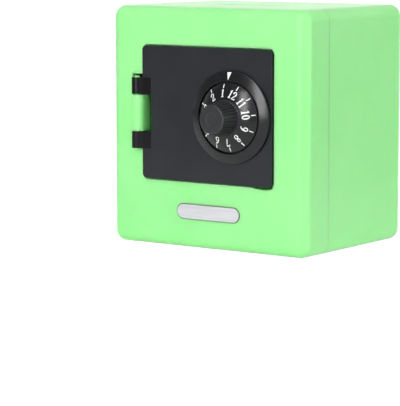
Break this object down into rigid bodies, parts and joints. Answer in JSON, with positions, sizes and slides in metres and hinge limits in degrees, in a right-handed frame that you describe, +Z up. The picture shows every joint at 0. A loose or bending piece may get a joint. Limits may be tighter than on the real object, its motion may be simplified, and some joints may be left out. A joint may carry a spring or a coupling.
{
  "type": "combination safe bank",
  "caption": "Square two-shell money box with a coin slot and a hinged front door that carries a combination dial and lock discs.",
  "frame": {"origin": "middle of the flat base", "axes": "+Z up, -Y out of the door's face, +X towards the door's free edge"},
  "size_m": [0.1074, 0.101, 0.11],
  "materials": {
    "green_shell": "light green moulded plastic, satin gloss",
    "charcoal": "fine matte charcoal",
    "gloss_black": "glossy black",
    "white_print": "white print",
    "silver_plate": "satin silver",
    "ivory": "natural moulded",
    "steel": "zinc plated"
  },
  "bodies": {
    "root": {"front_shell": "green_shell", "rear_shell": "green_shell", "case_screws": "steel", "name_plate": "silver_plate"},
    "door": {"door_plate": "charcoal", "dial_bezel": "gloss_black", "pointer_mark": "white_print", "lock_cover": "charcoal", "cover_screws": "steel"},
    "dial": {"dial_knob": "gloss_black", "knob_cap": "gloss_black", "dial_marks": "white_print", "friction_spring": "steel", "front_spacer": "ivory", "rear_spacer": "ivory", "drive_disc": "ivory", "disc_washer": "steel", "disc_screw": "steel"},
    "middle_disc": {"middle_disc": "ivory"},
    "front_disc": {"front_disc": "ivory"}
  },
  "joints": [
    {"name": "door_hinge", "type": "hinge", "parent": "root", "child": "door", "pos_m": [-0.0381, -0.0428, 0.061], "axis": [0, 0, -1], "range_deg": [0, 180]},
    {"name": "dial_turn", "type": "hinge", "parent": "door", "child": "dial", "pos_m": [0.0151, -0.042, 0.0615], "axis": [0, 1, 0], "continuous": true},
    {"name": "middle_disc_turn", "type": "hinge", "parent": "dial", "child": "middle_disc", "pos_m": [0.0151, -0.0332, 0.0615], "axis": [0, 1, 0], "range_deg": [-163, 163]},
    {"name": "front_disc_turn", "type": "hinge", "parent": "middle_disc", "child": "front_disc", "pos_m": [0.0151, -0.0368, 0.0615], "axis": [0, 1, 0], "range_deg": [-163, 163]}
  ]
}
